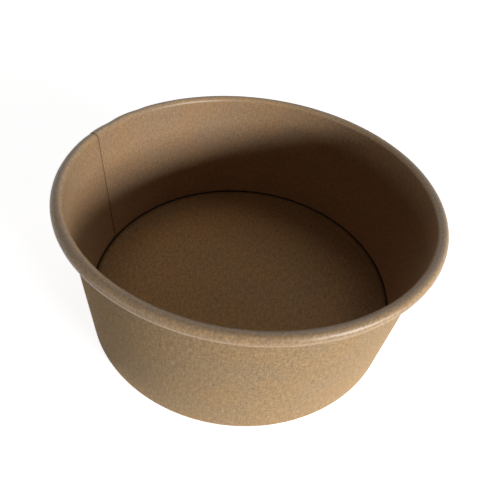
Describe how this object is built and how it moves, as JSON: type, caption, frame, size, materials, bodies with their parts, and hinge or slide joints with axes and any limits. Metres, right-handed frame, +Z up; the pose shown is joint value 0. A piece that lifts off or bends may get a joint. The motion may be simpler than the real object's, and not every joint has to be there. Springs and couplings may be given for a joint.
{
  "type": "kraft paper bowl",
  "caption": "Round kraft paper food bowl with a tapered wall, a rolled rim, a lapped side seam and a recessed base.",
  "frame": {"origin": "centre of the foot, on the surface that the bowl stands on", "axes": "+Z up along the bowl's axis; the lap seam's inner edge is at 166 degrees from +X, turning towards +Y"},
  "size_m": [0.15, 0.15, 0.06],
  "materials": {
    "wall_board": "brown kraft paperboard with a thin matt coating, fine fibres and a faint mottle",
    "base_board": "brown kraft paperboard with a thin matt coating, fine fibres and a faint mottle"
  },
  "bodies": {
    "root": {"side_wall": "wall_board", "base_disc": "base_board"}
  },
  "joints": []
}
